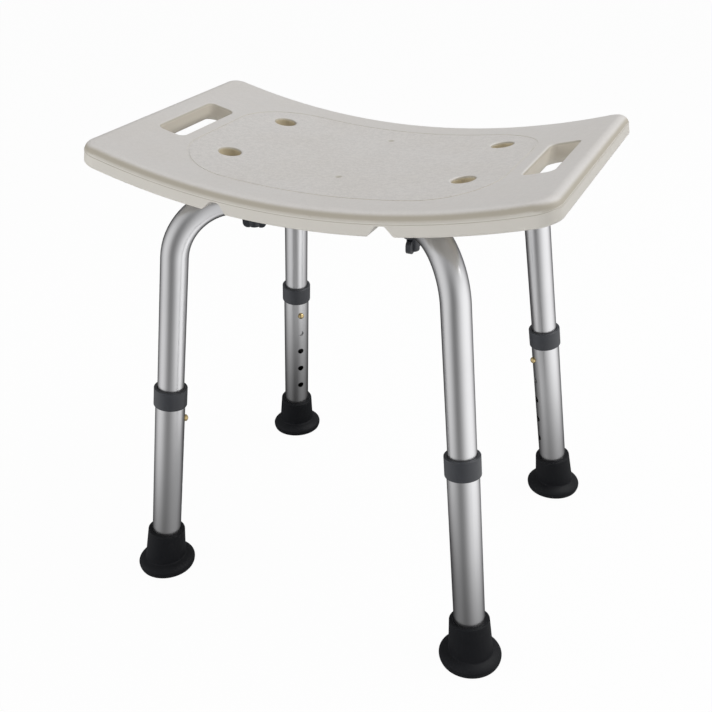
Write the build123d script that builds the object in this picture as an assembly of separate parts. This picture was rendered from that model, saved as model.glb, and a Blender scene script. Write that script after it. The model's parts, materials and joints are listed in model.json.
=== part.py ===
"""Height-adjustable shower stool: moulded seat on a crossed tube frame with telescopic legs.

Millimetres, +Z up, X along the seat's long side, origin on the floor under the seat's centre.
Each leg has its own local frame: X away from the stool's centre, Z up along the leg, and
its origin where the leg's axis meets the floor.
"""
import os
from math import acos, asin, atan, cos, degrees, radians, sin, sqrt, tan

from build123d import *

# ---- frame ---------------------------------------------------------------------------
PLAN_ANGLE = 41.0          # each U tube's direction in plan, measured from X
LEG_SPLAY = 7.8            # leg's lean from the vertical, in the tube's own plane
FOOT_REACH = 223.3         # stool's centre to the leg's axis, at floor level
CROSSBAR_Z = 385.6         # axis of the tubes' straight middle
BEND_RADIUS = 55.0         # centre line of the tubes' bends
UPPER_TUBE_OD = 25.4
UPPER_TUBE_WALL = 1.2
UPPER_TUBE_TAIL = 38.0     # upper tube below the snap button
FLAT_THICKNESS = 12.4      # each tube is pressed flat where the two cross
FLAT_WIDTH = 33.0
FLAT_CORNER = 6.0
FLAT_HALF_LENGTH = 21.0
FLAT_TAPER = 26.0          # from the flat back to the full round
FLAT_GAP = 0.2             # between the two pressed flats

# ---- centre rivet --------------------------------------------------------------------
RIVET_R = 3.1
RIVET_HOLE_GAP = 0.1
RIVET_HEAD_R = 6.2
RIVET_HEAD_H = 2.4

# ---- telescopic leg ------------------------------------------------------------------
SLIDE_GAP = 0.3            # radial, between the upper tube and what slides on it
LEG_TUBE_WALL = 1.3
LEG_TUBE_TOP = 206.7       # along the leg
BUTTON_S = 173.8           # snap button's height along the leg
HOLE_PITCH = 25.4
HOLE_COUNT = 5
BUTTON_R = 3.3
BUTTON_PROUD = 3.4         # beyond the leg tube's outside
BUTTON_DOME = 1.9
BUTTON_HOLE_GAP = 0.25
BUTTON_BASE_GAP = 0.05
BUTTON_TAIL_R = 1.5
BUTTON_TAIL_H = 1.6

# ---- snap spring ---------------------------------------------------------------------
SPRING_T = 0.7
SPRING_W = 8.0
SPRING_LENGTH = 42.0       # from the button up to the bight
SPRING_END = 6.5           # arm beyond the button
SPRING_WALL_GAP = 0.15
SPRING_BIGHT_R = 3.0

# ---- collar --------------------------------------------------------------------------
COLLAR_OD = 32.0
COLLAR_HEIGHT = 19.1
COLLAR_LIP = 2.4           # top lip over the leg tube's end
COLLAR_EDGE = 0.8
PUSH_FIT_GAP = 0.05        # radial, for plastic and rubber pushed on a tube

# ---- rubber foot ---------------------------------------------------------------------
FOOT_BASE_R = 28.8
FOOT_BASE_Z = 4.8          # height of the widest ring
FOOT_TREAD_R = 27.6
FOOT_CROWN_X = 29.2        # half axes of the flare's flattened crown
FOOT_CROWN_Z = 9.3
FOOT_CROWN_IN_R = 17.2     # where the crown ends, inside the socket
FOOT_NECK_ROUND = 1.5      # hollow between the crown and the socket
FOOT_SOCKET_LOW_R = 20.8
FOOT_SOCKET_LOW = 5.0      # along the leg
FOOT_SOCKET_TOP_R = 18.5
FOOT_SOCKET_TOP = 43.4
FOOT_FLOOR = 9.0           # rubber under the washer, along the leg
FOOT_RIM_ROUND = 0.9
FOOT_SET_IN = 2.0          # base centre, towards the stool's centre from the leg's axis
TREAD_GROOVES = (12.0, 17.0, 22.0)
TREAD_GROOVE_W = 1.6
TREAD_GROOVE_D = 1.5
TREAD_CUP_R = 7.5
TREAD_CUP_D = 2.2
WASHER_T = 1.5
WASHER_EDGE_GAP = 0.4

# ---- seat ----------------------------------------------------------------------------
SEAT_TOP_Z = 408.5         # lowest point of the dished top
SEAT_RADIUS = 690.0        # of the dish, along X
SEAT_THICKNESS = 18.9
SEAT_LENGTH = 428.6        # over all, at the lower edges
SEAT_WIDTH = 266.6
SEAT_END_FLARE = 2.8       # each end, from the top edge out to the lower edge
SEAT_SIDE_FLARE = 2.0
SEAT_CORNER_R = 17.5
SEAT_EDGE_R = 8.5
SEAT_LOW_EDGE_R = 1.8
SLOT_END_GAP = 37.5        # slot's middle line, in from the seat's top end edge
SLOT_WIDTH = 25.0
SLOT_LENGTH = 91.0
SLOT_CORNER_R = 6.0
SLOT_RIM_R = 2.5
SLOT_LOW_RIM_R = 9.0       # deep round under the fingers
DRAIN_X = 112.0
DRAIN_Y = 53.0
DRAIN_SET_BACK = 9.0       # the four drains' middle, behind the seat's middle
DRAIN_R = 9.8
DRAIN_RIM_R = 2.2
DIMPLE_Y = 58.0            # from the drains' middle
DIMPLE_R = 4.2
DIMPLE_DEPTH = 0.7
FIELD_END_GAP = 62.5       # textured field, in from the seat's top end edges
FIELD_SIDE_GAP = 31.0
FIELD_CORNER_R = 62.0
FIELD_LINE_W = 2.0
FIELD_LINE_D = 0.3
NOTCH_X = 76.0
NOTCH_WIDTH = 24.0         # at the seat's lower face
NOTCH_TIP = 8.0
NOTCH_HEIGHT = 9.0
NOTCH_REACH = 36.0         # in from the seat's edge
NOTCH_ROUND = 3.0
SADDLE_GAP = 0.1           # radial, between a tube and its groove in the seat
HUB_POCKET_GAP = 0.4
RIVET_POCKET_R = 9.0
RIVET_POCKET_GAP = 0.6

# ---- wing screws ---------------------------------------------------------------------
SCREW_REACH = 102.0        # stool's centre to each screw, along the tube
SCREW_R = 3.0
SCREW_HOLE_GAP = 0.4
THREAD_GAP = 0.08
INSERT_R = 4.8
INSERT_LENGTH = 11.0
INSERT_SET_BACK = 0.5      # insert's mouth above the groove
INSERT_GAP = 0.05
SCREW_IN_INSERT = 9.5
SCREW_IN_KNOB = 11.0
KNOB_GAP = 0.3             # under the tube
KNOB_FLANGE_R = 8.6
KNOB_FLANGE_H = 2.2
KNOB_HUB_R = 5.6
KNOB_HUB_H = 11.8
WING_SPAN = 21.6
WING_THICKNESS = 4.6
WING_HEIGHT = 11.6
WING_ROUND = 4.4
WING_DROP = 0.8            # wings below the hub
KNOB_TURN = {"fl": 16.0, "fr": 88.0, "rl": -35.0, "rr": 50.0}

# ---- sizes that follow ---------------------------------------------------------------
UPPER_R = UPPER_TUBE_OD / 2
UPPER_BORE_R = UPPER_R - UPPER_TUBE_WALL
LEG_BORE_R = UPPER_R + SLIDE_GAP
LEG_R = LEG_BORE_R + LEG_TUBE_WALL
SPLAY = radians(LEG_SPLAY)
LEG_TUBE_BOTTOM = FOOT_FLOOR + WASHER_T
UPPER_TUBE_END = BUTTON_S - UPPER_TUBE_TAIL
CORNER_REACH = FOOT_REACH - CROSSBAR_Z * tan(SPLAY)
FLAT_OFFSET = (FLAT_THICKNESS + FLAT_GAP) / 2
SEAT_AXIS_Z = SEAT_TOP_Z + SEAT_RADIUS
CROSSBAR_TOP = CROSSBAR_Z + UPPER_R
SEAT_LENGTH_TOP = SEAT_LENGTH - 2 * SEAT_END_FLARE
SEAT_WIDTH_TOP = SEAT_WIDTH - 2 * SEAT_SIDE_FLARE
SLOT_X = SEAT_LENGTH_TOP / 2 - SLOT_END_GAP
FIELD_LENGTH = SEAT_LENGTH_TOP - 2 * FIELD_END_GAP
FIELD_WIDTH = SEAT_WIDTH_TOP - 2 * FIELD_SIDE_GAP
LEG_BEARINGS = {"fl": 180 + PLAN_ANGLE, "fr": -PLAN_ANGLE, "rl": 180 - PLAN_ANGLE, "rr": PLAN_ANGLE}


def leg_plane(bearing):
    """Local frame of the leg that stands at a bearing from X."""
    a = radians(bearing)
    origin = (FOOT_REACH * cos(a), FOOT_REACH * sin(a), 0)
    outward = (cos(SPLAY) * cos(a), cos(SPLAY) * sin(a), sin(SPLAY))
    up = (-sin(SPLAY) * cos(a), -sin(SPLAY) * sin(a), cos(SPLAY))
    return Plane(origin=origin, x_dir=outward, z_dir=up)


def on_leg(bearing, shape):
    """Places a shape made in the leg's local frame."""
    return leg_plane(bearing).location * shape


def seat_top_at(x):
    """Height of the dished top at a distance along X."""
    return SEAT_AXIS_Z - sqrt(SEAT_RADIUS**2 - x**2)


def seat_low_at(x):
    """Height of the seat's lower face at a distance along X."""
    return SEAT_AXIS_Z - sqrt((SEAT_RADIUS + SEAT_THICKNESS) ** 2 - x**2)


def cap_middle(r, base, height):
    """Middle of a spherical cap's profile, from (r, base) up to (0, base + height)."""
    ball = (r**2 + height**2) / (2 * height)
    half_turn = asin(r / ball) / 2
    return (ball * sin(half_turn), base + height - ball * (1 - cos(half_turn)))


def ring(outer_r, inner_r, low, high):
    """Plain tube between two heights."""
    height = high - low
    tube = Cylinder(outer_r, height) - Cylinder(inner_r, height)
    return Pos(0, 0, (low + high) / 2) * tube


# ---- frame tubes ---------------------------------------------------------------------
def half_tube(grow, offset_z):
    """Half of a U tube in the XZ plane, grown by a wall allowance, open at the middle."""
    radius = UPPER_R + grow
    start_x = FOOT_REACH - UPPER_TUBE_END * sin(SPLAY)
    start_z = UPPER_TUBE_END * cos(SPLAY)
    round_x = FLAT_HALF_LENGTH + FLAT_TAPER
    path = FilletPolyline(
        (start_x, 0, start_z),
        (CORNER_REACH, 0, CROSSBAR_Z),
        (round_x, 0, CROSSBAR_Z),
        radius=BEND_RADIUS,
    )
    leg_up = (-sin(SPLAY), 0, cos(SPLAY))
    mouth = Plane(origin=(start_x, 0, start_z), x_dir=(0, 1, 0), z_dir=leg_up)
    bent = sweep(mouth * Circle(radius), path=path)
    round_end = Plane(origin=(round_x, 0, CROSSBAR_Z), x_dir=(0, 1, 0), z_dir=(-1, 0, 0))
    flat_end = Plane(
        origin=(FLAT_HALF_LENGTH, 0, CROSSBAR_Z + offset_z), x_dir=(0, 1, 0), z_dir=(-1, 0, 0)
    )
    wide = FLAT_WIDTH + 2 * grow
    thick = FLAT_THICKNESS + 2 * grow
    corner = FLAT_CORNER + grow
    circle_like = RectangleRounded(2 * radius, 2 * radius, radius - 0.05)
    flat_shape = RectangleRounded(wide, thick, corner)
    taper = loft([round_end * circle_like, flat_end * flat_shape])
    flat = extrude(flat_end * flat_shape, FLAT_HALF_LENGTH)
    return bent + taper + flat


def frame_tube(bearing, offset_z):
    """U tube from leg to leg, pressed flat at the crossing, with its holes."""
    outer = half_tube(0, offset_z)
    bore = half_tube(-UPPER_TUBE_WALL, offset_z)
    half = outer - bore
    local_leg = Plane(
        origin=(FOOT_REACH, 0, 0), x_dir=(cos(SPLAY), 0, sin(SPLAY)), z_dir=(-sin(SPLAY), 0, cos(SPLAY))
    )
    button_hole = Pos(-UPPER_R, 0, BUTTON_S) * Rot(0, 90, 0)
    button_hole *= Cylinder(BUTTON_R + BUTTON_HOLE_GAP, UPPER_R)
    half -= local_leg.location * button_hole
    half -= Pos(SCREW_REACH, 0, CROSSBAR_Z) * Cylinder(SCREW_R + SCREW_HOLE_GAP, 2 * UPPER_TUBE_OD)
    tube = half + mirror(half, about=Plane.YZ)
    tube -= Pos(0, 0, CROSSBAR_Z) * Cylinder(RIVET_R + RIVET_HOLE_GAP, 2 * UPPER_TUBE_OD)
    return Rot(0, 0, bearing) * tube


def centre_rivet():
    """Domed rivet through both pressed flats."""
    reach = FLAT_OFFSET + FLAT_THICKNESS / 2
    side, height = cap_middle(RIVET_HEAD_R, reach, RIVET_HEAD_H)
    with BuildPart() as made:
        with BuildSketch(Plane.XZ):
            with BuildLine():
                Line((0, -reach - RIVET_HEAD_H), (0, reach + RIVET_HEAD_H))
                ThreePointArc((0, reach + RIVET_HEAD_H), (side, height), (RIVET_HEAD_R, reach))
                Polyline(
                    (RIVET_HEAD_R, reach), (RIVET_R, reach), (RIVET_R, -reach), (RIVET_HEAD_R, -reach)
                )
                ThreePointArc((RIVET_HEAD_R, -reach), (side, -height), (0, -reach - RIVET_HEAD_H))
            make_face()
        revolve(axis=Axis.Z)
    return Pos(0, 0, CROSSBAR_Z) * made.part


# ---- telescopic leg ------------------------------------------------------------------
def leg_tube():
    """Outer leg tube with its column of height holes."""
    tube = ring(LEG_R, LEG_BORE_R, LEG_TUBE_BOTTOM, LEG_TUBE_TOP)
    for step in range(HOLE_COUNT):
        hole = Rot(0, 90, 0) * Cylinder(BUTTON_R + BUTTON_HOLE_GAP, LEG_R)
        tube -= Pos(-LEG_R, 0, BUTTON_S - step * HOLE_PITCH) * hole
    return tube


def collar():
    """Plastic collar pushed over the leg tube's top, with a lip that guides the upper tube."""
    low = LEG_TUBE_TOP + COLLAR_LIP - COLLAR_HEIGHT
    high = LEG_TUBE_TOP + COLLAR_LIP
    body = ring(COLLAR_OD / 2, LEG_BORE_R, low, high)
    body -= ring(LEG_R + PUSH_FIT_GAP, 0.5 * LEG_BORE_R, low, LEG_TUBE_TOP)
    rims = body.edges().filter_by(GeomType.CIRCLE).filter_by(lambda e: e.radius > LEG_R + 1)
    return fillet(rims, COLLAR_EDGE)


def snap_button():
    """Button that stands through both tubes, with a tail riveted to the spring."""
    base = button_base()
    tip = LEG_R + BUTTON_PROUD
    with BuildPart() as made:
        with BuildSketch(Plane.XZ):
            with BuildLine():
                Polyline(
                    (0, base - BUTTON_TAIL_H),
                    (BUTTON_TAIL_R, base - BUTTON_TAIL_H),
                    (BUTTON_TAIL_R, base),
                    (BUTTON_R, base),
                    (BUTTON_R, tip - BUTTON_DOME),
                )
                crown = cap_middle(BUTTON_R, tip - BUTTON_DOME, BUTTON_DOME)
                ThreePointArc((BUTTON_R, tip - BUTTON_DOME), crown, (0, tip))
                Line((0, tip), (0, base - BUTTON_TAIL_H))
            make_face()
        revolve(axis=Axis.Z)
    return Pos(0, 0, BUTTON_S) * Rot(0, -90, 0) * made.part


def spring_face():
    """Distance from the tube's axis to the spring arm's outer face."""
    return sqrt((UPPER_BORE_R - SPRING_WALL_GAP) ** 2 - (SPRING_W / 2) ** 2)


def button_base():
    """Distance from the tube's axis to the button's seat on the spring arm."""
    return spring_face() + BUTTON_BASE_GAP


def snap_spring():
    """V-shaped flat spring inside the upper tube."""
    face = spring_face() - SPRING_T / 2
    top = BUTTON_S + SPRING_LENGTH
    straight = BUTTON_S + SPRING_END + 4.0
    low = BUTTON_S - SPRING_END
    with BuildPart() as made:
        with BuildSketch(Plane.XZ):
            with BuildLine():
                centre = FilletPolyline(
                    (-face, low),
                    (-face, straight),
                    (-SPRING_BIGHT_R, top),
                    (SPRING_BIGHT_R, top),
                    (face, straight),
                    (face, low),
                    radius=2.4,
                )
            trace(centre, line_width=SPRING_T)
        extrude(amount=SPRING_W / 2, both=True)
    hole = Pos(-face, 0, BUTTON_S) * Rot(0, 90, 0) * Cylinder(BUTTON_TAIL_R + 0.1, 4 * SPRING_T)
    return made.part - hole


def foot_outline():
    """Flared base of the rubber foot, turned about the vertical through its centre."""
    crown_x = FOOT_BASE_R - FOOT_CROWN_X
    turn = acos((FOOT_CROWN_IN_R - crown_x) / FOOT_CROWN_X)
    top_z = FOOT_BASE_Z + FOOT_CROWN_Z * sin(turn)
    with BuildPart() as made:
        with BuildSketch(Plane.XZ):
            with BuildLine():
                Line((0, 0), (FOOT_TREAD_R, 0))
                TangentArc((FOOT_BASE_R, FOOT_BASE_Z), (FOOT_TREAD_R, 0), tangent=(0, -1))
                EllipticalCenterArc(
                    (crown_x, FOOT_BASE_Z), FOOT_CROWN_X, FOOT_CROWN_Z, start_angle=0, arc_size=degrees(turn)
                )
                Polyline((FOOT_CROWN_IN_R, top_z), (0, top_z), (0, 0))
            make_face()
        revolve(axis=Axis.Z)
    return made.part


def rubber_foot(bearing):
    """Rubber foot: level flared base with tread rings, and a socket that leans with the leg."""
    a = radians(bearing)
    centre = FOOT_REACH - FOOT_SET_IN
    base_spot = Pos(centre * cos(a), centre * sin(a), 0)
    base = base_spot * foot_outline()
    socket = Pos(0, 0, FOOT_SOCKET_LOW) * Cone(
        FOOT_SOCKET_LOW_R,
        FOOT_SOCKET_TOP_R,
        FOOT_SOCKET_TOP - FOOT_SOCKET_LOW,
        align=(Align.CENTER, Align.CENTER, Align.MIN),
    )
    socket = fillet(socket.edges().group_by(Axis.Z)[-1], FOOT_RIM_ROUND)
    foot = base + on_leg(bearing, socket)
    foot = fillet(foot.edges().filter_by(GeomType.BSPLINE), FOOT_NECK_ROUND)
    bore_height = FOOT_SOCKET_TOP - FOOT_FLOOR + 5
    bore = Pos(0, 0, FOOT_FLOOR) * Cylinder(
        LEG_R + PUSH_FIT_GAP, bore_height, align=(Align.CENTER, Align.CENTER, Align.MIN)
    )
    foot -= on_leg(bearing, bore)
    cup = Cylinder(TREAD_CUP_R, 2 * TREAD_CUP_D)
    foot -= base_spot * cup
    for r in TREAD_GROOVES:
        groove = ring(r + TREAD_GROOVE_W / 2, r - TREAD_GROOVE_W / 2, -1, TREAD_GROOVE_D)
        foot -= base_spot * groove
    return foot


def foot_washer():
    """Steel disc that keeps the tube from cutting through the rubber."""
    return Pos(0, 0, FOOT_FLOOR) * Cylinder(
        LEG_R - WASHER_EDGE_GAP, WASHER_T, align=(Align.CENTER, Align.CENTER, Align.MIN)
    )


# ---- seat ----------------------------------------------------------------------------
def seat_blank():
    """Dished slab with drafted sides and rounded corners and edges."""
    top_z = SEAT_TOP_Z
    low_z = SEAT_TOP_Z - SEAT_THICKNESS
    section = Plane.YZ * make_face(
        Polyline(
            (-SEAT_WIDTH_TOP / 2, top_z),
            (SEAT_WIDTH_TOP / 2, top_z),
            (SEAT_WIDTH / 2, low_z),
            (-SEAT_WIDTH / 2, low_z),
            close=True,
        )
    )
    spin = Axis((0, 0, SEAT_AXIS_Z), (0, 1, 0))
    sweep_angle = degrees(asin(0.6 * SEAT_LENGTH / SEAT_RADIUS))
    slab = revolve(section, axis=spin, revolution_arc=2 * sweep_angle)
    slab = slab.rotate(spin, -sweep_angle)
    high = seat_top_at(SEAT_LENGTH_TOP / 2)
    low = seat_low_at(SEAT_LENGTH / 2)
    lean = SEAT_END_FLARE / (high - low)
    above = high + 60
    below = low - 60
    half_above = SEAT_LENGTH_TOP / 2 - lean * (above - high)
    half_below = SEAT_LENGTH / 2 + lean * (low - below)
    ends = Plane.XZ * make_face(
        Polyline(
            (-half_above, above), (half_above, above), (half_below, below), (-half_below, below), close=True
        )
    )
    slab &= extrude(ends, SEAT_WIDTH, both=True)
    corners = [e for e in slab.edges() if abs(e.center().X) > 0.45 * SEAT_LENGTH_TOP and e.length < 40]
    slab = fillet(corners, SEAT_CORNER_R)
    top_face = max(slab.faces().filter_by(GeomType.CYLINDER), key=lambda f: f.area * (f.center().Z > top_z))
    slab = fillet(top_face.edges(), SEAT_EDGE_R)
    low_face = [f for f in slab.faces().filter_by(GeomType.CYLINDER) if f.area > 50000 and f != top_face]
    low_face = min(low_face, key=lambda f: f.center().Z)
    return fillet(low_face.edges(), SEAT_LOW_EDGE_R)


def rim_edges(part, x, y, reach, face_at):
    """Edges of an opening's rim on one of the curved faces, within a reach of its centre."""
    found = []
    for e in part.edges():
        c = e.center()
        near = abs(c.X - x) <= reach[0] and abs(c.Y - y) <= reach[1]
        if near and abs(c.Z - face_at(c.X)) < 1.5:
            found.append(e)
    return found


def notch_cutter():
    """Trapezoid relief in the seat's lower edge, with soft corners."""
    half = NOTCH_WIDTH / 2
    tip = NOTCH_TIP / 2
    deep = 12.0
    outline = make_face(
        Polyline(
            (-3 * half, -deep), (3 * half, -deep), (3 * half, 0), (half, 0),
            (tip, NOTCH_HEIGHT), (-tip, NOTCH_HEIGHT), (-half, 0), (-3 * half, 0), close=True,
        )
    )
    soft = [v for v in outline.vertices() if abs(v.X) < 1.5 * half and v.Y > -1]
    outline = fillet(soft, NOTCH_ROUND)
    return extrude(Plane.XZ * outline, NOTCH_REACH)


def seat_panel():
    """Seat moulding with handles, drains, border line, frame grooves and screw bores."""
    seat = seat_blank()
    high = seat_top_at(SEAT_LENGTH / 2)
    slot_reach = (SLOT_WIDTH / 2 + 1, SLOT_LENGTH / 2 + 1)
    drain_reach = (DRAIN_R + 1, DRAIN_R + 1)
    for side in (-1, 1):
        x = side * SLOT_X
        slot = RectangleRounded(SLOT_WIDTH, SLOT_LENGTH, SLOT_CORNER_R)
        seat -= Pos(x, 0, SEAT_TOP_Z - 2 * SEAT_THICKNESS) * extrude(slot, high)
        seat = fillet(rim_edges(seat, x, 0, slot_reach, seat_top_at), SLOT_RIM_R)
        seat = fillet(rim_edges(seat, x, 0, slot_reach, seat_low_at), SLOT_LOW_RIM_R)
        for y in (DRAIN_SET_BACK - DRAIN_Y, DRAIN_SET_BACK + DRAIN_Y):
            seat -= Pos(side * DRAIN_X, y, SEAT_TOP_Z) * Cylinder(DRAIN_R, 6 * SEAT_THICKNESS)
            seat = fillet(rim_edges(seat, side * DRAIN_X, y, drain_reach, seat_top_at), DRAIN_RIM_R)
    ball = (DIMPLE_R**2 + DIMPLE_DEPTH**2) / (2 * DIMPLE_DEPTH)
    for y in (DRAIN_SET_BACK - DIMPLE_Y, DRAIN_SET_BACK + DIMPLE_Y):
        seat -= Pos(0, y, SEAT_TOP_Z - DIMPLE_DEPTH + ball) * Sphere(ball)
    seat -= field_line()
    tilt = asin(NOTCH_X / (SEAT_RADIUS + SEAT_THICKNESS))
    for side in (-1, 1):
        for front in (-1, 1):
            edge_y = front * (SEAT_WIDTH / 2 + 2)
            cutter = Rot(0, 0, 0 if front < 0 else 180) * Pos(0, NOTCH_REACH, 0) * notch_cutter()
            spot = Pos(side * NOTCH_X, edge_y, seat_low_at(NOTCH_X)) * Rot(0, -side * degrees(tilt), 0)
            seat -= spot * cutter
    seat -= frame_room()
    for bearing in LEG_BEARINGS.values():
        bore = Pos(SCREW_REACH, 0, CROSSBAR_Z) * Cylinder(
            INSERT_R + INSERT_GAP,
            UPPER_R + INSERT_SET_BACK + INSERT_LENGTH,
            align=(Align.CENTER, Align.CENTER, Align.MIN),
        )
        seat -= Rot(0, 0, bearing) * bore
    return seat


def field_line():
    """Shallow moulded line round the textured field."""
    outer = RectangleRounded(FIELD_LENGTH, FIELD_WIDTH, FIELD_CORNER_R)
    inner = RectangleRounded(
        FIELD_LENGTH - 2 * FIELD_LINE_W, FIELD_WIDTH - 2 * FIELD_LINE_W, FIELD_CORNER_R - FIELD_LINE_W
    )
    band = Pos(0, 0, SEAT_TOP_Z - 5) * extrude(outer - inner, 60)
    kept = Pos(0, 0, SEAT_AXIS_Z) * Rot(90, 0, 0) * Cylinder(SEAT_RADIUS + FIELD_LINE_D, 2 * SEAT_WIDTH)
    return band & kept


def frame_room():
    """Grooves under the seat that sit on the tubes, and the pocket over their crossing."""
    groove_r = UPPER_R + SADDLE_GAP
    room = Pos(0, 0, CROSSBAR_Z) * Rot(0, 90, 0) * Cylinder(groove_r, 2 * CORNER_REACH)
    low = SEAT_TOP_Z - 2 * SEAT_THICKNESS
    below = Pos(0, 0, low) * Box(2 * CORNER_REACH, 2 * groove_r, CROSSBAR_Z - low,
                                 align=(Align.CENTER, Align.CENTER, Align.MIN))
    room += below
    both = Rot(0, 0, PLAN_ANGLE) * room + Rot(0, 0, -PLAN_ANGLE) * room
    pocket_top = CROSSBAR_Z + FLAT_OFFSET + FLAT_THICKNESS / 2 + HUB_POCKET_GAP
    pocket_r = sqrt((FLAT_HALF_LENGTH + FLAT_TAPER) ** 2 + UPPER_R**2) + HUB_POCKET_GAP
    both += Pos(0, 0, low) * Cylinder(
        pocket_r, pocket_top - low, align=(Align.CENTER, Align.CENTER, Align.MIN)
    )
    head_top = CROSSBAR_Z + FLAT_OFFSET + FLAT_THICKNESS / 2 + RIVET_HEAD_H + RIVET_POCKET_GAP
    both += Pos(0, 0, low) * Cylinder(
        RIVET_POCKET_R, head_top - low, align=(Align.CENTER, Align.CENTER, Align.MIN)
    )
    return both


# ---- wing screws ---------------------------------------------------------------------
def seat_insert(bearing):
    """Threaded brass insert moulded into the seat above a tube."""
    body = ring(INSERT_R, SCREW_R + THREAD_GAP, 0, INSERT_LENGTH - INSERT_GAP)
    return Rot(0, 0, bearing) * Pos(SCREW_REACH, 0, CROSSBAR_TOP + INSERT_SET_BACK) * body


def knob_top():
    """Height of the wing knob's flange, just under the tube."""
    return CROSSBAR_Z - UPPER_R - KNOB_GAP


def screw_stud(bearing):
    """Steel stud of the wing screw."""
    low = knob_top() - SCREW_IN_KNOB
    high = CROSSBAR_TOP + INSERT_SET_BACK + SCREW_IN_INSERT
    stud = Pos(0, 0, low) * Cylinder(SCREW_R, high - low, align=(Align.CENTER, Align.CENTER, Align.MIN))
    stud = chamfer(stud.edges().group_by(Axis.Z)[-1], 0.8)
    return Rot(0, 0, bearing) * Pos(SCREW_REACH, 0, 0) * stud


def wing_knob(bearing, turn):
    """Plastic wing knob: flange, hub and two rounded wings."""
    flange = Pos(0, 0, -KNOB_FLANGE_H / 2) * Cylinder(KNOB_FLANGE_R, KNOB_FLANGE_H)
    flange = fillet(flange.edges().group_by(Axis.Z)[0], 0.8)
    hub_h = KNOB_FLANGE_H + KNOB_HUB_H
    hub = Pos(0, 0, -hub_h / 2) * Cylinder(KNOB_HUB_R, hub_h)
    hub = fillet(hub.edges().group_by(Axis.Z)[0], 1.2)
    wing_low = -hub_h - WING_DROP
    blade = Rectangle(WING_SPAN, WING_HEIGHT)
    blade = fillet(blade.vertices(), WING_ROUND)
    dip = Pos(0, -WING_HEIGHT / 2 - 2.2) * Circle(KNOB_HUB_R * 0.9)
    blade -= dip
    wings = extrude(Plane.XZ * blade, WING_THICKNESS / 2, both=True)
    wings = Pos(0, 0, wing_low + WING_HEIGHT / 2) * wings
    knob = flange + hub + wings
    knob -= Pos(0, 0, -SCREW_IN_KNOB / 2) * Cylinder(SCREW_R + PUSH_FIT_GAP, SCREW_IN_KNOB)
    spot = Rot(0, 0, bearing) * Pos(SCREW_REACH, 0, knob_top()) * Rot(0, 0, turn - bearing)
    return spot * knob


# ---- the stool -----------------------------------------------------------------------
def build():
    """Every piece of the stool, by node name."""
    pieces = {
        "seat_panel": seat_panel(),
        "frame_tube_upper_lap": frame_tube(PLAN_ANGLE, FLAT_OFFSET),
        "frame_tube_lower_lap": frame_tube(-PLAN_ANGLE, -FLAT_OFFSET),
        "centre_rivet": centre_rivet(),
        "seat_inserts": Compound([seat_insert(b) for b in LEG_BEARINGS.values()]),
    }
    for leg, bearing in LEG_BEARINGS.items():
        pieces[f"leg_tube_{leg}"] = on_leg(bearing, leg_tube())
        pieces[f"leg_collar_{leg}"] = on_leg(bearing, collar())
        pieces[f"rubber_foot_{leg}"] = rubber_foot(bearing)
        pieces[f"foot_washer_{leg}"] = on_leg(bearing, foot_washer())
        pieces[f"snap_button_{leg}"] = on_leg(bearing, snap_button())
        pieces[f"snap_spring_{leg}"] = on_leg(bearing, snap_spring())
        pieces[f"wing_knob_{leg}"] = wing_knob(bearing, KNOB_TURN[leg])
        pieces[f"screw_stud_{leg}"] = screw_stud(bearing)
    return pieces


os.makedirs("parts", exist_ok=True)
for node, shape in build().items():
    export_step(shape, f"parts/{node}.step")
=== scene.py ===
"""Looks for the height-adjustable shower stool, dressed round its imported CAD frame.

Metres, +Z up, X along the seat's long side, floor at z = 0. Sizes that describe the
stool are written in millimetres in the classes and turned into metres where they are used.
"""
from __future__ import annotations

import json
import logging
import math
from dataclasses import dataclass, field
from enum import Enum

import bmesh
import bpy
from mathutils import Matrix, Vector
from mathutils.bvhtree import BVHTree

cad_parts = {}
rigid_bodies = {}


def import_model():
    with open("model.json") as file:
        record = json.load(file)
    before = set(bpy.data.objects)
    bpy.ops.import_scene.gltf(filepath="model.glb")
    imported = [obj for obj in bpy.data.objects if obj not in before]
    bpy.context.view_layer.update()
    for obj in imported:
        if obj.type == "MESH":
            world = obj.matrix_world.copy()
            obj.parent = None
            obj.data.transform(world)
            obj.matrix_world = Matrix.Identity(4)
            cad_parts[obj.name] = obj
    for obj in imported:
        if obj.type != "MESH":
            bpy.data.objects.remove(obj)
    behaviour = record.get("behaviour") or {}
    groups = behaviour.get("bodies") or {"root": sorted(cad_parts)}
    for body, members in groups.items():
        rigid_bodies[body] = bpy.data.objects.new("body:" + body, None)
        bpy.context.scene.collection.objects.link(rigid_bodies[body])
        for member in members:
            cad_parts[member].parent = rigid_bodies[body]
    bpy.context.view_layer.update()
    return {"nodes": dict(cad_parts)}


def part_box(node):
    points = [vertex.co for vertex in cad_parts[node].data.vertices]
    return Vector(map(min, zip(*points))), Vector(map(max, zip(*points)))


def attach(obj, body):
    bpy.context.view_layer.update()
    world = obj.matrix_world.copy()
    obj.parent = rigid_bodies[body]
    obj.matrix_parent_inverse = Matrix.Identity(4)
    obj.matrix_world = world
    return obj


LOG = logging.getLogger("shower_stool")
MM = 0.001
WHITE = (1.0, 1.0, 1.0, 1.0)
Colour = tuple[float, float, float]
Place = tuple[float, float, float]
Sources = dict[str | int, object]


class Corner(Enum):
    """The four legs, seen by someone who stands in front of the stool."""

    FRONT_LEFT = "fl"
    FRONT_RIGHT = "fr"
    REAR_LEFT = "rl"
    REAR_RIGHT = "rr"


# The standard display curve: a straight foot, then a power.
DISPLAY_TOP = 255
DISPLAY_FOOT = 0.04045
DISPLAY_FOOT_SLOPE = 12.92
DISPLAY_OFFSET = 0.055
DISPLAY_POWER = 2.4


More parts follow.
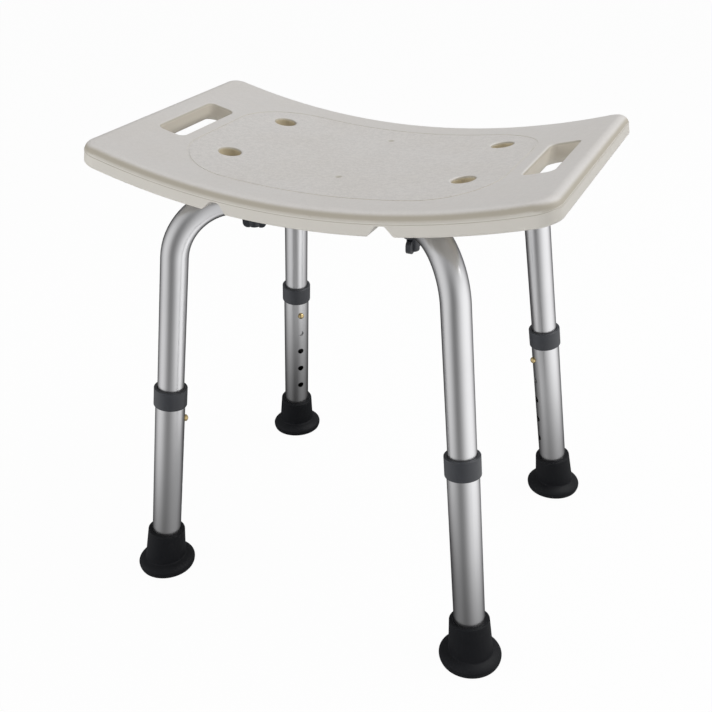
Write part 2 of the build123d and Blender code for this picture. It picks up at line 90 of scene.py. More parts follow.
def srgb(red: int, green: int, blue: int) -> Colour:
    """Turn display values from 0 to 255 into linear colour.

    Args:
        red: Red display value.
        green: Green display value.
        blue: Blue display value.

    Returns:
        Linear red, green and blue.
    """
    linear = []
    for value in (red, green, blue):
        part = value / DISPLAY_TOP
        if part <= DISPLAY_FOOT:
            linear.append(part / DISPLAY_FOOT_SLOPE)
        else:
            linear.append(((part + DISPLAY_OFFSET) / (1 + DISPLAY_OFFSET)) ** DISPLAY_POWER)
    return linear[0], linear[1], linear[2]


# ---- shader building -------------------------------------------------------------------
# Numbers of the colour sockets on a Mix node, which has a set of sockets for each data type.
MIX_FACTOR, MIX_FIRST, MIX_SECOND, MIX_RESULT = 0, 6, 7, 2


@dataclass
class Wiring:
    """A node tree that is being wired up."""

    tree: bpy.types.NodeTree

    def add(self, kind: str, **settings: object) -> bpy.types.Node:
        """Add a node.

        Args:
            kind: Blender's name for the node type.
            **settings: Attributes to set on the node.

        Returns:
            The new node.
        """
        node = self.tree.nodes.new(kind)
        for name, value in settings.items():
            setattr(node, name, value)
        return node

    def feed(self, node: bpy.types.Node, socket: str | int, source: object) -> None:
        """Give an input a value, or link an output to it.

        Args:
            node: Node that has the input.
            socket: Name or number of the input.
            source: A value, or the output socket to link.
        """
        target = node.inputs[socket]
        if isinstance(source, bpy.types.NodeSocket):
            self.tree.links.new(source, target)
        else:
            target.default_value = source

    def place(self, kind: str, sources: Sources, **settings: object) -> bpy.types.NodeOutputs:
        """Add a node and feed its inputs.

        Args:
            kind: Blender's name for the node type.
            sources: A value or an output socket for each input's name or number.
            **settings: Attributes to set on the node.

        Returns:
            The new node's outputs.
        """
        node = self.add(kind, **settings)
        for socket, source in sources.items():
            self.feed(node, socket, source)
        return node.outputs

    def group(self, tree: bpy.types.NodeTree, sources: Sources) -> bpy.types.NodeOutputs:
        """Place a shared group, with its inputs fed."""
        return self.place("ShaderNodeGroup", sources, node_tree=tree)

    def noise(self, sources: Sources) -> object:
        """Add cloudy noise in space, and give its value."""
        return self.place("ShaderNodeTexNoise", sources, noise_dimensions="3D")[0]

    def split(self, vector: object) -> bpy.types.NodeOutputs:
        """Split a vector into X, Y and Z."""
        return self.place("ShaderNodeSeparateXYZ", {0: vector})

    def math(
        self, operation: str, first: object, second: object = 0.0, clamp: bool = False
    ) -> object:
        """Do a sum on values.

        Args:
            operation: Blender's name for the sum.
            first: First value.
            second: Second value, which a sum on one value leaves out.
            clamp: Whether the result is held between 0 and 1.

        Returns:
            The result's socket.
        """
        return self.place(
            "ShaderNodeMath", {0: first, 1: second}, operation=operation, use_clamp=clamp
        )[0]

    def blend(
        self, factor: object, first: object, second: object, kind: str = "MIX"
    ) -> object:
        """Add a colour mix.

        Args:
            factor: Share of the second colour.
            first: Colour at 0.
            second: Colour at 1, or what the first is multiplied by.
            kind: Blender's name for the way of mixing.

        Returns:
            The mixed colour's socket.
        """
        sources = {MIX_FACTOR: factor, MIX_FIRST: first, MIX_SECOND: second}
        return self.place("ShaderNodeMix", sources, data_type="RGBA", blend_type=kind)[MIX_RESULT]

    def ramp(
        self, source: object, low: float, high: float, to_low: float = 0.0, to_high: float = 1.0
    ) -> object:
        """Map a value smoothly from one range to another, held at the ends.

        Args:
            source: The value.
            low: Value that becomes to_low.
            high: Value that becomes to_high.
            to_low: Result at and below low.
            to_high: Result at and above high.

        Returns:
            The result's socket.
        """
        sources = dict(enumerate((source, low, high, to_low, to_high)))
        return self.place(
            "ShaderNodeMapRange", sources, clamp=True, interpolation_type="SMOOTHSTEP"
        )[0]

    def grey(self, value: object) -> object:
        """Make a grey of one value."""
        return self.place("ShaderNodeCombineColor", {0: value, 1: value, 2: value})[0]

    def mix_shaders(self, factor: object, first: object, second: object) -> object:
        """Mix two shaders by the share of the second."""
        return self.place("ShaderNodeMixShader", {0: factor, 1: first, 2: second})[0]


def opaque(colour: Colour) -> tuple[float, float, float, float]:
    """Colour with full alpha."""
    return colour[0], colour[1], colour[2], 1.0


def new_group(
    name: str, inputs: dict[str, tuple[str, object]], outputs: dict[str, str]
) -> Wiring:
    """Start a shader node group with named sockets.

    Args:
        name: Name of the group.
        inputs: Socket type and default for each input name.
        outputs: Socket type for each output name.

    Returns:
        Wiring of the group's tree, with nodes named "in" and "out".
    """
    tree = bpy.data.node_groups.new(name, "ShaderNodeTree")
    for label, (kind, default) in inputs.items():
        socket = tree.interface.new_socket(name=label, in_out="INPUT", socket_type=kind)
        if default is not None:
            socket.default_value = default
    for label, kind in outputs.items():
        tree.interface.new_socket(name=label, in_out="OUTPUT", socket_type=kind)
    wiring = Wiring(tree)
    wiring.add("NodeGroupInput", name="in")
    wiring.add("NodeGroupOutput", name="out")
    return wiring


COARSE_GRAIN_SCALE = 0.37
FINE_GRAIN_SHARE, COARSE_GRAIN_SHARE = 0.6, 0.4
FINE_GRAIN_DETAIL, COARSE_GRAIN_DETAIL = 2.0, 1.0
MIDDLE = 0.5


def moulded_grain_group() -> bpy.types.NodeTree:
    """Fine pebbled grain of a moulded or anodised surface.

    Returns:
        Group with the inputs Vector, Scale and Contrast, and the outputs Height and Speckle.
    """
    inputs = {
        "Vector": ("NodeSocketVector", None),
        "Scale": ("NodeSocketFloat", 1000.0),
        "Contrast": ("NodeSocketFloat", 0.5),
    }
    outputs = {"Height": "NodeSocketFloat", "Speckle": "NodeSocketFloat"}
    made = new_group("moulded grain", inputs, outputs)
    given = made.tree.nodes["in"].outputs
    out = made.tree.nodes["out"]
    coarser = made.math("MULTIPLY", given["Scale"], COARSE_GRAIN_SCALE)
    fine = made.noise(
        {"Vector": given["Vector"], "Scale": given["Scale"], "Detail": FINE_GRAIN_DETAIL}
    )
    coarse = made.noise(
        {"Vector": given["Vector"], "Scale": coarser, "Detail": COARSE_GRAIN_DETAIL}
    )
    both = made.math(
        "ADD",
        made.math("MULTIPLY", fine, FINE_GRAIN_SHARE),
        made.math("MULTIPLY", coarse, COARSE_GRAIN_SHARE),
    )
    made.feed(out, "Height", both)
    centred = made.math("MULTIPLY", made.math("SUBTRACT", both, MIDDLE), given["Contrast"])
    made.feed(out, "Speckle", made.math("ADD", centred, MIDDLE, clamp=True))
    return made.tree


CLOUD_DETAIL, CLOUD_ROUGHNESS = 5.0, 0.6
CLOUD_LOW, CLOUD_HIGH = 0.35, 0.7


def handling_group() -> bpy.types.NodeTree:
    """Broad soft patches that handling, water and dust leave on a finish.

    Returns:
        Group with the inputs Vector, Scale, Clean, Touched and Amount, and the outputs
        Color and Mask.
    """
    inputs = {
        "Vector": ("NodeSocketVector", None),
        "Scale": ("NodeSocketFloat", 12.0),
        "Clean": ("NodeSocketColor", (0.8, 0.8, 0.8, 1)),
        "Touched": ("NodeSocketColor", (0.7, 0.7, 0.7, 1)),
        "Amount": ("NodeSocketFloat", 0.5),
    }
    made = new_group("handling", inputs, {"Color": "NodeSocketColor", "Mask": "NodeSocketFloat"})
    given = made.tree.nodes["in"].outputs
    out = made.tree.nodes["out"]
    cloud = made.noise({
        "Vector": given["Vector"], "Scale": given["Scale"],
        "Detail": CLOUD_DETAIL, "Roughness": CLOUD_ROUGHNESS,
    })
    patches = made.ramp(cloud, CLOUD_LOW, CLOUD_HIGH)
    mask = made.math("MULTIPLY", patches, given["Amount"], clamp=True)
    made.feed(out, "Color", made.blend(mask, given["Clean"], given["Touched"]))
    made.feed(out, "Mask", mask)
    return made.tree


LINE_SCALE, LINE_DETAIL = 1.0, 2.0


def drawn_lines_group() -> bpy.types.NodeTree:
    """Hair-fine lines along a drawn tube, which stands near the vertical.

    Returns:
        Group with the inputs Vector, Across and Along, and the output Height.
    """
    inputs = {
        "Vector": ("NodeSocketVector", None),
        "Across": ("NodeSocketFloat", 2200.0),
        "Along": ("NodeSocketFloat", 25.0),
    }
    made = new_group("drawn lines", inputs, {"Height": "NodeSocketFloat"})
    given = made.tree.nodes["in"].outputs
    scale = made.place(
        "ShaderNodeCombineXYZ", {"X": given["Across"], "Y": given["Across"], "Z": given["Along"]}
    )[0]
    stretched = made.place(
        "ShaderNodeVectorMath", {0: given["Vector"], 1: scale}, operation="MULTIPLY"
    )[0]
    lines = made.noise({"Vector": stretched, "Scale": LINE_SCALE, "Detail": LINE_DETAIL})
    made.feed(made.tree.nodes["out"], "Height", lines)
    return made.tree


@dataclass
class GroupShelf:
    """The shared node groups, each built once."""

    grain: bpy.types.NodeTree = field(default_factory=moulded_grain_group)
    handling: bpy.types.NodeTree = field(default_factory=handling_group)
    drawn: bpy.types.NodeTree = field(default_factory=drawn_lines_group)


class FinishKind(Enum):
    """What a finish is laid on."""

    DIELECTRIC = 0.0
    METAL = 1.0


@dataclass(frozen=True)
class Finish:
    """A finish with fine grain and broad handling marks, laid out on Object coordinates."""

    name: str
    clean: Colour
    touched: Colour
    kind: FinishKind = FinishKind.DIELECTRIC
    roughness: float = 0.5
    roughness_spread: float = 0.08
    grain_per_metre: float = 1500.0
    grain_depth_mm: float = 0.02
    handling_per_metre: float = 12.0
    handling_amount: float = 0.4
    specular: float = 0.5
    edge_tint: Colour = (1.0, 1.0, 1.0)

    def material(self, shelf: GroupShelf) -> bpy.types.Material:
        """Build the finish as a Blender material.

        Args:
            shelf: The shared node groups.

        Returns:
            The new material.
        """
        made = bpy.data.materials.new(self.name)
        made.use_nodes = True
        wiring = Wiring(made.node_tree)
        shader = made.node_tree.nodes["Principled BSDF"]
        place = wiring.add("ShaderNodeTexCoord").outputs["Object"]
        colour, rough_mask = self.colour(wiring, shelf, place)
        wiring.feed(shader, "Base Color", colour)
        wiring.feed(shader, "Metallic", self.kind.value)
        wiring.feed(shader, "Specular IOR Level", self.specular)
        wiring.feed(shader, "Specular Tint", opaque(self.edge_tint))
        low = self.roughness - self.roughness_spread / 2
        high = self.roughness + self.roughness_spread / 2
        wiring.feed(shader, "Roughness", wiring.ramp(rough_mask, 0.0, 1.0, low, high))
        height = self.height(wiring, shelf, place)
        bump = {"Height": height, "Distance": self.grain_depth_mm * MM}
        wiring.feed(shader, "Normal", wiring.place("ShaderNodeBump", bump)[0])
        return made

    def colour(self, wiring: Wiring, shelf: GroupShelf, place: object) -> tuple[object, object]:
        """Lay out the colour.

        Args:
            wiring: The material's wiring.
            shelf: The shared node groups.
            place: Object coordinates.

        Returns:
            The colour's socket and a mask that moves the roughness.
        """
        marks = wiring.group(shelf.handling, {
            "Vector": place,
            "Scale": self.handling_per_metre,
            "Clean": opaque(self.clean),
            "Touched": opaque(self.touched),
            "Amount": self.handling_amount,
        })
        return marks["Color"], marks["Mask"]

    def height(self, wiring: Wiring, shelf: GroupShelf, place: object) -> object:
        """Lay out the grain's height."""
        grain = {"Vector": place, "Scale": self.grain_per_metre}
        return wiring.group(shelf.grain, grain)["Height"]


@dataclass(frozen=True)
class AnodisedFinish(Finish):
    """Satin anodised tube: drawn lines under the anodic layer's grain."""

    lines_depth: float = 0.6

    def height(self, wiring: Wiring, shelf: GroupShelf, place: object) -> object:
        """Lay out the drawn lines over the grain.

        Args:
            wiring: The material's wiring.
            shelf: The shared node groups.
            place: Object coordinates.

        Returns:
            The height's socket.
        """
        grain = Finish.height(self, wiring, shelf, place)
        lines = wiring.group(shelf.drawn, {"Vector": place})["Height"]
        return wiring.math("ADD", wiring.math("MULTIPLY", lines, self.lines_depth), grain)


@dataclass(frozen=True)
class SeatFinish(Finish):
    """Warm white polyethylene: stippled field, painted shade on the rounded edges, painted light on
    the sides and painted tan shade where walls are deep.
    """

    # Painted light and shade picked by facing: a lighter side tone stands in for light on the
    # sides, the other tones are painted shade on rounded edges, slot walls and bores.
    painted_side_light: Colour = srgb(218, 214, 206)
    painted_edge_shade: Colour = srgb(184, 177, 163)
    painted_slot_shade: Colour = srgb(208, 201, 188)
    painted_bore_shade: Colour = srgb(205, 193, 166)
    field_half_length_mm: float = 149.0
    field_half_width_mm: float = 100.3
    field_corner_mm: float = 62.0
    slots_beyond_mm: float = 45.0
    border_mm: float = 6.0
    dimple_y_mm: float = 58.0
    dimple_set_back_mm: float = 9.0
    dimple_radius_mm: float = 4.0
    dimple_floor: float = 0.4
    # Share of painted edge shade on a dimple's floor.
    dimple_shade_share: float = 0.8
    stipple_per_metre: float = 620.0
    stipple_contrast: float = 0.4
    stipple_sharpness: float = 3.0
    stipple_outside: float = 0.35
    stipple_height: float = 3.5
    stipple_dark: float = 1.03
    stipple_light: float = 1.19
    mask_edge_mm: float = 0.5
    # Ranges of facing over which the painted side light, painted edge shade and the top's own tone
    # blend.
    wall_turns_up: tuple[float, float] = (0.1, 0.45)
    edge_turns_flat: tuple[float, float] = (0.62, 0.93)

    def length(self, wiring: Wiring, across: object, along: object) -> object:
        """Distance in plan from its two parts."""
        squares = [wiring.math("POWER", part, 2.0) for part in (across, along)]
        return wiring.math("SQRT", wiring.math("ADD", *squares))

    def field_mask(
        self, wiring: Wiring, place: object, beyond_mm: tuple[float, float] = (0.0, 0.0)
    ) -> object:
        """Mask of the rounded field on the seat's top, seen in plan.

        Args:
            wiring: The material's wiring.
            place: Object coordinates.
            beyond_mm: How far the mask lies beyond the field's own ends and sides.

        Returns:
            A value that is 1 in the field and 0 outside it.
        """
        parts = wiring.split(place)
        halves_mm = (self.field_half_length_mm, self.field_half_width_mm)
        beyond = []
        for axis, half, more in zip("XY", halves_mm, beyond_mm):
            straight = (half + more - self.field_corner_mm) * MM
            away = wiring.math("SUBTRACT", wiring.math("ABSOLUTE", parts[axis]), straight)
            beyond.append(wiring.math("MAXIMUM", away, 0.0))
        distance = self.length(wiring, *beyond)
        corner = self.field_corner_mm * MM
        edge = self.mask_edge_mm * MM
        return wiring.ramp(distance, corner - edge, corner + edge, 1.0, 0.0)

    def dimple_shade_mask(self, wiring: Wiring, place: object) -> object:
        """Mask of painted shade in the two shallow dimples.

        Args:
            wiring: The material's wiring.
            place: Object coordinates.

        Returns:
            A value that is highest on a dimple's floor and 0 outside the dimples.
        """
        parts = wiring.split(place)
        centred = wiring.math("SUBTRACT", parts["Y"], self.dimple_set_back_mm * MM)
        aside = wiring.math("SUBTRACT", wiring.math("ABSOLUTE", centred), self.dimple_y_mm * MM)
        distance = self.length(wiring, parts["X"], aside)
        radius = self.dimple_radius_mm * MM
        return wiring.ramp(distance, self.dimple_floor * radius, radius, self.dimple_shade_share, 0.0)

    def stippled(self, wiring: Wiring, shelf: GroupShelf, place: object, top: object) -> object:
        """Speckle the top's colour, most of all in the field.

        Args:
            wiring: The material's wiring.
            shelf: The shared node groups.
            place: Object coordinates.
            top: The top's plain colour.

        Returns:
            The speckled colour's socket.
        """
        grain = {
            "Vector": place, "Scale": self.stipple_per_metre, "Contrast": self.stipple_sharpness,
        }
        speckle = wiring.group(shelf.grain, grain)["Speckle"]
        reach = self.stipple_contrast
        centred = wiring.ramp(speckle, 0.0, 1.0, -reach, reach)
        strength = wiring.ramp(self.field_mask(wiring, place), 0.0, 1.0, self.stipple_outside, 1.0)
        share = wiring.math("ADD", wiring.math("MULTIPLY", centred, strength), MIDDLE)
        dark, light = (opaque((gain,) * 3) for gain in (self.stipple_dark, self.stipple_light))
        return wiring.blend(1.0, top, wiring.blend(share, dark, light), "MULTIPLY")

    def colour(self, wiring: Wiring, shelf: GroupShelf, place: object) -> tuple[object, object]:
        """Lay out the seat's tones: stippled top, painted shade on the rounded edges and in the
        dimples, painted light on the sides, painted shade on the slot walls and bores.

        Args:
            wiring: The material's wiring.
            shelf: The shared node groups.
            place: Object coordinates.

        Returns:
            The colour's socket and a mask that moves the roughness.
        """
        top, mask = Finish.colour(self, wiring, shelf, place)
        toned = self.stippled(wiring, shelf, place, top)
        # The normal's height picks painted light and shade: painted side light, painted slot and
        # bore shade on walls, painted edge shade on rounded edges.
        up = wiring.split(wiring.add("ShaderNodeTexCoord").outputs["Normal"])["Z"]
        slots = self.field_mask(wiring, place, (self.slots_beyond_mm, 0.0))
        bores = self.field_mask(wiring, place, (-self.border_mm, -self.border_mm))
        wall = wiring.blend(slots, opaque(self.painted_side_light), opaque(self.painted_slot_shade))
        wall = wiring.blend(bores, wall, opaque(self.painted_bore_shade))
        edge = opaque(self.painted_edge_shade)
        rounded = wiring.blend(wiring.ramp(up, *self.wall_turns_up), wall, edge)
        # Painted edge shade laid into the dimples.
        top_with_dimple_shade = wiring.blend(self.dimple_shade_mask(wiring, place), toned, edge)
        return wiring.blend(wiring.ramp(up, *self.edge_turns_flat), rounded, top_with_dimple_shade), mask

    def height(self, wiring: Wiring, shelf: GroupShelf, place: object) -> object:
        """Lay out a fine grain that is deeper in the stippled field.

        Args:
            wiring: The material's wiring.
            shelf: The shared node groups.
            place: Object coordinates.

        Returns:
            The height's socket.
        """
        fine = Finish.height(self, wiring, shelf, place)
        stipple = {"Vector": place, "Scale": self.stipple_per_metre}
        grain = wiring.group(shelf.grain, stipple)["Height"]
        deep = wiring.math("MULTIPLY", grain, self.field_mask(wiring, place))
        return wiring.math("ADD", wiring.math("MULTIPLY", deep, self.stipple_height), fine)


@dataclass
class Palette:
    """Every finish on the stool, built as a material once."""

    shelf: GroupShelf
    seat: Finish = SeatFinish(
        "seat_polyethylene", clean=srgb(213, 210, 207), touched=srgb(209, 205, 200),
        roughness=0.5, grain_depth_mm=0.07, handling_amount=0.5,
    )
    tube: Finish = AnodisedFinish(
        "anodised_tube", clean=(0.66, 0.66, 0.67), touched=(0.60, 0.60, 0.61),
        kind=FinishKind.METAL, roughness=0.3, roughness_spread=0.05, grain_depth_mm=0.010,
        edge_tint=(0.2, 0.2, 0.2),
    )
    collar: Finish = Finish(
        "collar_plastic", clean=srgb(54, 56, 61), touched=srgb(62, 64, 69), roughness=0.48,
        grain_per_metre=2200.0, grain_depth_mm=0.02, handling_per_metre=60.0,
    )
    foot: Finish = Finish(
        "foot_rubber", clean=srgb(24, 25, 28), touched=srgb(30, 31, 34), roughness=0.55,
        grain_per_metre=1800.0, grain_depth_mm=0.03, handling_per_metre=45.0, specular=0.15,
    )
    knob: Finish = Finish(
        "knob_plastic", clean=srgb(38, 41, 47), touched=srgb(46, 49, 55), roughness=0.35,
        grain_per_metre=2200.0, grain_depth_mm=0.012, handling_per_metre=70.0,
    )
    brass: Finish = Finish(
        "button_brass", clean=(0.70, 0.55, 0.28), touched=(0.50, 0.37, 0.17),
        kind=FinishKind.METAL, roughness=0.3, grain_per_metre=3000.0, grain_depth_mm=0.006,
        handling_per_metre=160.0,
    )
    steel: Finish = Finish(
        "zinc_steel", clean=(0.58, 0.59, 0.60), touched=(0.45, 0.45, 0.46),
        kind=FinishKind.METAL, roughness=0.34, grain_per_metre=2600.0, grain_depth_mm=0.008,
        handling_per_metre=90.0,
    )
    materials: dict[str, bpy.types.Material] = field(init=False, default_factory=dict)

    def __post_init__(self) -> None:
        """Build the materials."""
        finishes = (
            self.seat, self.tube, self.collar, self.foot, self.knob, self.brass, self.steel,
        )
        for finish in finishes:
            self.materials[finish.name] = finish.material(self.shelf)

    def dress(self, piece: bpy.types.Object, finish: Finish) -> None:
        """Give a piece one finish all over.

        Args:
            piece: CAD node or new piece.
            finish: One of the palette's finishes.
        """
        piece.data.materials.clear()
        piece.data.materials.append(self.materials[finish.name])
        LOG.info("%s: %s", piece.name, finish.name)


# ---- the stool -------------------------------------------------------------------------
@dataclass
class SeatAssembly:
    """The dished seat with its brass inserts, on the crossed frame tubes."""

    nodes: dict[str, bpy.types.Object]
    palette: Palette

    def build(self) -> None:
        """Dress the seat, its inserts and the frame tubes."""
        self.palette.dress(self.nodes["seat_panel"], self.palette.seat)
        self.palette.dress(self.nodes["seat_inserts"], self.palette.brass)
        for name in ("frame_tube_upper_lap", "frame_tube_lower_lap"):
            self.palette.dress(self.nodes[name], self.palette.tube)
        self.palette.dress(self.nodes["centre_rivet"], self.palette.steel)


@dataclass
class TelescopicLeg:
    """One leg: sliding tube, collar, snap button with its spring, washer and rubber foot."""

    corner: Corner
    nodes: dict[str, bpy.types.Object]
    palette: Palette

    def build(self) -> None:
        """Dress the leg's pieces."""
        finishes = {
            "leg_tube": self.palette.tube,
            "leg_collar": self.palette.collar,
            "rubber_foot": self.palette.foot,
            "foot_washer": self.palette.steel,
            "snap_button": self.palette.brass,
            "snap_spring": self.palette.steel,
        }
        for piece, finish in finishes.items():
            self.palette.dress(self.nodes[f"{piece}_{self.corner.value}"], finish)


@dataclass
class WingScrew:
    """One wing screw that clamps the seat on a tube."""

    corner: Corner
    nodes: dict[str, bpy.types.Object]
    palette: Palette

    def build(self) -> None:
        """Dress the knob and its stud."""
        self.palette.dress(self.nodes[f"wing_knob_{self.corner.value}"], self.palette.knob)
        self.palette.dress(self.nodes[f"screw_stud_{self.corner.value}"], self.palette.steel)


@dataclass
class PartingBead:
    """Fine bead that the two mould halves leave round the side of the seat."""

    nodes: dict[str, bpy.types.Object]
    palette: Palette
    top_mm: float = 408.5
    dish_radius_mm: float = 690.0
    corner_mm: float = 18.0
    below_top_mm: float = 8.9
    bead_radius_mm: float = 0.75
    sunk_mm: float = 0.4
    reach_mm: float = 12.0
    spacing_mm: float = 3.0
    corner_steps: int = 12
    round_steps: int = 2

    def outline(self) -> list[tuple[Vector, Vector]]:
        """Lay out points round the seat, a little way off its side.

        Returns:
            Each point in plan, with the way out from the seat there.
        """
        low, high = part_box("seat_panel")
        corner = self.corner_mm * MM
        away = corner + self.reach_mm * MM
        straight_x = (high.x - low.x - 2 * corner) / 2
        straight_y = (high.y - low.y - 2 * corner) / 2
        quarters = ((1, 1), (-1, 1), (-1, -1), (1, -1))
        centres = [Vector((right * straight_x, back * straight_y, 0.0)) for right, back in quarters]
        made = []
        for number, centre in enumerate(centres):
            for step in range(self.corner_steps + 1):
                angle = math.radians(90.0 * (number + step / self.corner_steps))
                out = Vector((math.cos(angle), math.sin(angle), 0.0))
                made.append((centre + out * away, out))
            following = centres[(number + 1) % len(centres)]
            count = int((following - centre).length / (self.spacing_mm * MM))
            for step in range(1, count):
                made.append((centre.lerp(following, step / count) + out * away, out))
        return made

    def height(self, across: float) -> float:
        """Height of the bead above the floor.

        Args:
            across: Distance from the seat's middle along its long side, in metres.

        Returns:
            The height in metres.
        """
        dish = (self.dish_radius_mm + self.below_top_mm) * MM
        return (self.top_mm + self.dish_radius_mm) * MM - math.sqrt(dish * dish - across * across)

    def path(self) -> list[Vector]:
        """Find the bead's centre line, sunk a little in the seat's side.

        Returns:
            Points of the closed line.
        """
        graph = bpy.context.evaluated_depsgraph_get()
        surface = BVHTree.FromObject(self.nodes["seat_panel"], graph)
        path = []
        for point, out in self.outline():
            start = Vector((point.x, point.y, self.height(point.x - out.x * self.reach_mm * MM)))
            hit = surface.ray_cast(start, -out)[0]
            if hit is not None:
                path.append(hit - out * self.sunk_mm * MM)
        return path

    def build(self) -> None:
        """Lay the bead on the seat's side and dress it."""
        path = self.path()
        data = bpy.data.curves.new("parting_bead_path", "CURVE")
        data.dimensions = "3D"
        data.bevel_depth = self.bead_radius_mm * MM
        data.bevel_resolution = self.round_steps
        spline = data.splines.new("POLY")
        spline.use_cyclic_u = True
        spline.points.add(len(path) - 1)
        for vertex, place in zip(spline.points, path):
            vertex.co = (*place, 1.0)
        line = bpy.data.objects.new("parting_bead_path", data)
        mesh = bpy.data.meshes.new_from_object(line)
        bpy.data.objects.remove(line)
        bead = bpy.data.objects.new("parting_bead", mesh)
        bpy.context.scene.collection.objects.link(bead)
        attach(bead, "frame")
        self.palette.dress(bead, self.palette.seat)


# ---- the studio ------------------------------------------------------------------------
@dataclass(frozen=True)
class SoftLamp:
    """A large soft lamp that points at the stool."""

    name: str
    place: Place
    width: float
    height: float
    radiance: float
    mirrored: bool = True
    aim: Place = (0.0, 0.0, 0.25)

    def build(self) -> None:
        """Add the lamp, with the power that gives its face the wanted radiance."""
        data = bpy.data.lights.new(self.name, "AREA")
        data.shape = "RECTANGLE"
        data.size = self.width
        data.size_y = self.height
        data.energy = self.radiance * math.pi * self.width * self.height
        lamp = bpy.data.objects.new(self.name, data)
        lamp.visible_glossy = self.mirrored
        lamp.location = self.place
        lamp.rotation_mode = "QUATERNION"
        beam = Vector(self.aim) - Vector(self.place)
        lamp.rotation_quaternion = beam.to_track_quat("-Z", "Y")
        bpy.context.scene.collection.objects.link(lamp)


@dataclass
class Studio:
    """Pale floor, white surroundings, soft lamps and the camera.

    Metal mirrors a grey that changes with the direction in the studio. Each pair named
    _span holds the two values between which it changes.
    """

    floor_size: float = 16.0
    floor_tone: Colour = (0.80, 0.80, 0.80)
    floor_roughness: float = 0.9
    floor_glow: float = 0.97
    mirrored_low: float = 0.26
    mirrored_right: float = 1.1
    mirrored_left: float = 0.7
    mirrored_above: float = 0.5
    mirrored_beyond: float = 0.5
    mirrored_behind: float = 0.35
    mirrored_near: float = 0.3
    right_span: tuple[float, float] = (-0.3, 0.95)
    left_span: tuple[float, float] = (-0.4, -1.0)
    front_span: tuple[float, float] = (-0.85, 0.2)
    height_span: tuple[float, float] = (0.1, 0.9)
    near_span: tuple[float, float] = (0.02, 0.45)
    ambient: float = 0.28
    stage_turn: float = 25.6
    lens_mm: float = 49.55
    sensor_mm: float = 36.0
    clip_start: float = 0.01
    clip_end: float = 50.0
    camera_place: Place = (0.3648, -0.7834, 0.6760)
    camera_yaw: float = 25.64
    camera_pitch: float = 28.48
    camera_roll: float = 1.47
    lamps: tuple[SoftLamp, ...] = (
        SoftLamp("lamp_left", (-1.6, -1.0, 0.7), 0.8, 1.1, 2.6, False),
        SoftLamp("lamp_right", (1.7, 0.3, 0.8), 0.8, 1.3, 0.3, False),
        SoftLamp("lamp_back", (1.1, 0.6, 1.85), 1.8, 1.4, 3.35),
        SoftLamp("lamp_front", (-0.2, -2.4, 0.65), 3.4, 1.1, 1.7, False),
    )

    def seen_directly(self, wiring: Wiring) -> object:
        """Pick out what the camera, a reflection or a see-through ray meets first.

        Args:
            wiring: Wiring of the floor paint or of the surroundings.

        Returns:
            A value that is 1 for such a ray and 0 for the light that falls on things.
        """
        path = wiring.add("ShaderNodeLightPath").outputs
        seen = wiring.math("MAXIMUM", path["Is Camera Ray"], path["Is Glossy Ray"])
        return wiring.math("MAXIMUM", seen, path["Is Transmission Ray"])

    def tone_in_mirrors(self, wiring: Wiring, towards: object) -> object:
        """Brightness that metal mirrors: bright to both sides, darker behind the stool.

        Args:
            wiring: Wiring of the floor paint or of the surroundings.
            towards: Vector from the stool's centre to what is mirrored.

        Returns:
            A value that is 1 where the mirrored surroundings are white.
        """
        turn = math.radians(self.stage_turn)
        to_right = (math.cos(turn), math.sin(turn), 0.0)
        to_front = (math.sin(turn), -math.cos(turn), 0.0)
        flat = wiring.place(
            "ShaderNodeVectorMath", {0: towards, 1: (1.0, 1.0, 0.0)}, operation="MULTIPLY"
        )[0]
        unit = wiring.place("ShaderNodeVectorMath", {0: flat}, operation="NORMALIZE")[0]
        rightward, frontward = (
            wiring.place(
                "ShaderNodeVectorMath", {0: unit, 1: way}, operation="DOT_PRODUCT"
            )["Value"]
            for way in (to_right, to_front)
        )
        right = wiring.ramp(rightward, *self.right_span, 0.0, self.mirrored_right)
        left = wiring.ramp(rightward, *self.left_span, 0.0, self.mirrored_left)
        sides = wiring.math("ADD", wiring.math("ADD", right, left), self.mirrored_low)
        front = wiring.ramp(frontward, *self.front_span, self.mirrored_behind, 1.0)
        return wiring.math("MULTIPLY", sides, front)

    def build_world(self) -> None:
        """White surroundings that light the stool more softly than they look."""
        world = bpy.data.worlds.new("studio")
        world.use_nodes = True
        bpy.context.scene.world = world
        wiring = Wiring(world.node_tree)
        towards = wiring.add("ShaderNodeTexCoord").outputs["Generated"]
        height = wiring.ramp(wiring.split(towards)["Z"], *self.height_span)
        overhead = wiring.math("MULTIPLY", height, self.mirrored_above)
        below = wiring.math("SUBTRACT", 1.0, height)
        around = wiring.math("MULTIPLY", self.tone_in_mirrors(wiring, towards), below)
        tone = wiring.grey(wiring.math("ADD", overhead, around))
        seen = wiring.blend(self.seen_directly(wiring), opaque((self.ambient,) * 3), WHITE)
        glossy = wiring.add("ShaderNodeLightPath").outputs["Is Glossy Ray"]
        background = world.node_tree.nodes["Background"]
        wiring.feed(background, "Color", wiring.blend(glossy, seen, tone))
        wiring.feed(background, "Strength", 1.0)

    def floor_in_mirrors(self, wiring: Wiring, distance: object) -> object:
        """Shade the floor as metal mirrors it, dimmer close to the metal.

        Args:
            wiring: The floor paint's wiring.
            distance: Length of the mirrored ray.

        Returns:
            The shader's socket.
        """
        near = wiring.ramp(distance, *self.near_span, self.mirrored_near, 1.0)
        place = wiring.add("ShaderNodeTexCoord").outputs["Object"]
        strength = wiring.math("MULTIPLY", self.tone_in_mirrors(wiring, place), near)
        patch = wiring.place("ShaderNodeEmission", {"Strength": strength})[0]
        passing = wiring.place("ShaderNodeBsdfTransparent", {"Color": wiring.grey(near)})[0]
        return wiring.mix_shaders(self.mirrored_beyond, patch, passing)

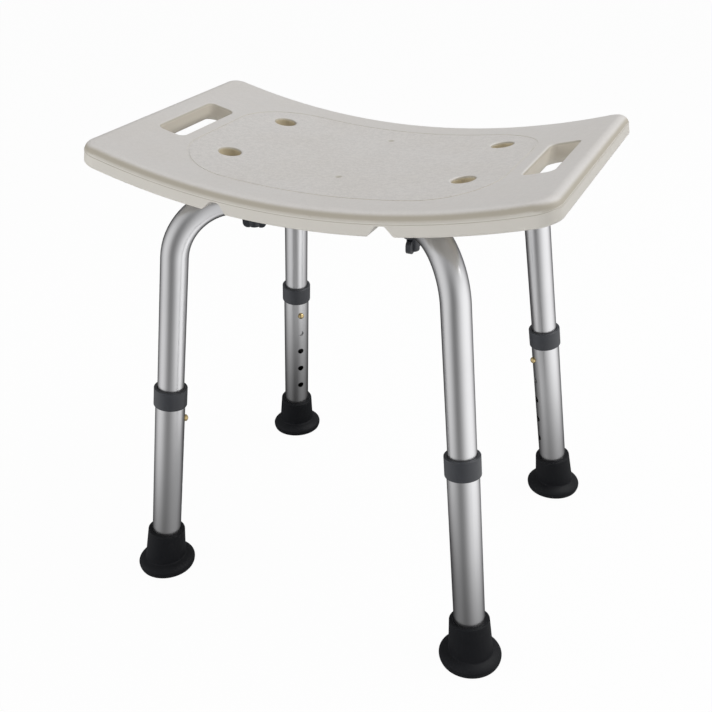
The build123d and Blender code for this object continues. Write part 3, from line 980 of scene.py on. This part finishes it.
    def floor_paint(self) -> bpy.types.Material:
        """Build the floor's paint, white where it is seen directly.

        Returns:
            The new material.
        """
        paint = bpy.data.materials.new("floor_paint")
        paint.use_nodes = True
        wiring = Wiring(paint.node_tree)
        shader = paint.node_tree.nodes["Principled BSDF"]
        wiring.feed(shader, "Base Color", opaque(self.floor_tone))
        wiring.feed(shader, "Roughness", self.floor_roughness)
        wiring.feed(shader, "Specular IOR Level", 0.0)
        glow = wiring.add("ShaderNodeEmission").outputs[0]
        share = wiring.math("MULTIPLY", self.seen_directly(wiring), self.floor_glow)
        lit = wiring.mix_shaders(share, shader.outputs[0], glow)
        path = wiring.add("ShaderNodeLightPath").outputs
        mirrored = self.floor_in_mirrors(wiring, path["Ray Length"])
        both = wiring.mix_shaders(path["Is Glossy Ray"], lit, mirrored)
        wiring.feed(paint.node_tree.nodes["Material Output"], "Surface", both)
        return paint

    def build_floor(self) -> None:
        """Plain pale floor that keeps the stool's shadow."""
        shape = bmesh.new()
        bmesh.ops.create_grid(shape, x_segments=1, y_segments=1, size=self.floor_size / 2)
        mesh = bpy.data.meshes.new("floor")
        shape.to_mesh(mesh)
        shape.free()
        mesh.materials.append(self.floor_paint())
        floor = bpy.data.objects.new("floor", mesh)
        bpy.context.scene.collection.objects.link(floor)

    def build_camera(self) -> None:
        """Camera in front of the stool, above it and to its right."""
        data = bpy.data.cameras.new("camera")
        data.lens = self.lens_mm
        data.sensor_width = self.sensor_mm
        data.clip_start = self.clip_start
        data.clip_end = self.clip_end
        camera = bpy.data.objects.new("camera", data)
        turn = Matrix.Rotation(math.radians(self.camera_yaw), 4, "Z")
        turn @= Matrix.Rotation(math.radians(90.0 - self.camera_pitch), 4, "X")
        turn @= Matrix.Rotation(math.radians(-self.camera_roll), 4, "Z")
        camera.matrix_world = Matrix.Translation(self.camera_place) @ turn
        bpy.context.scene.collection.objects.link(camera)
        bpy.context.scene.camera = camera

    def build(self) -> None:
        """Build the whole studio."""
        bpy.context.scene.view_settings.view_transform = "Standard"
        self.build_world()
        self.build_floor()
        for lamp in self.lamps:
            lamp.build()
        self.build_camera()


def main() -> None:
    """Load the frame, dress every sub-assembly and set up the studio."""
    logging.basicConfig(level=logging.INFO, format="%(message)s")
    for start in list(bpy.data.objects):
        bpy.data.objects.remove(start)
    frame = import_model()
    nodes = frame["nodes"]
    palette = Palette(GroupShelf())
    SeatAssembly(nodes, palette).build()
    PartingBead(nodes, palette).build()
    for corner in Corner:
        TelescopicLeg(corner, nodes, palette).build()
        WingScrew(corner, nodes, palette).build()
    Studio().build()


if __name__ == "__main__":
    main()
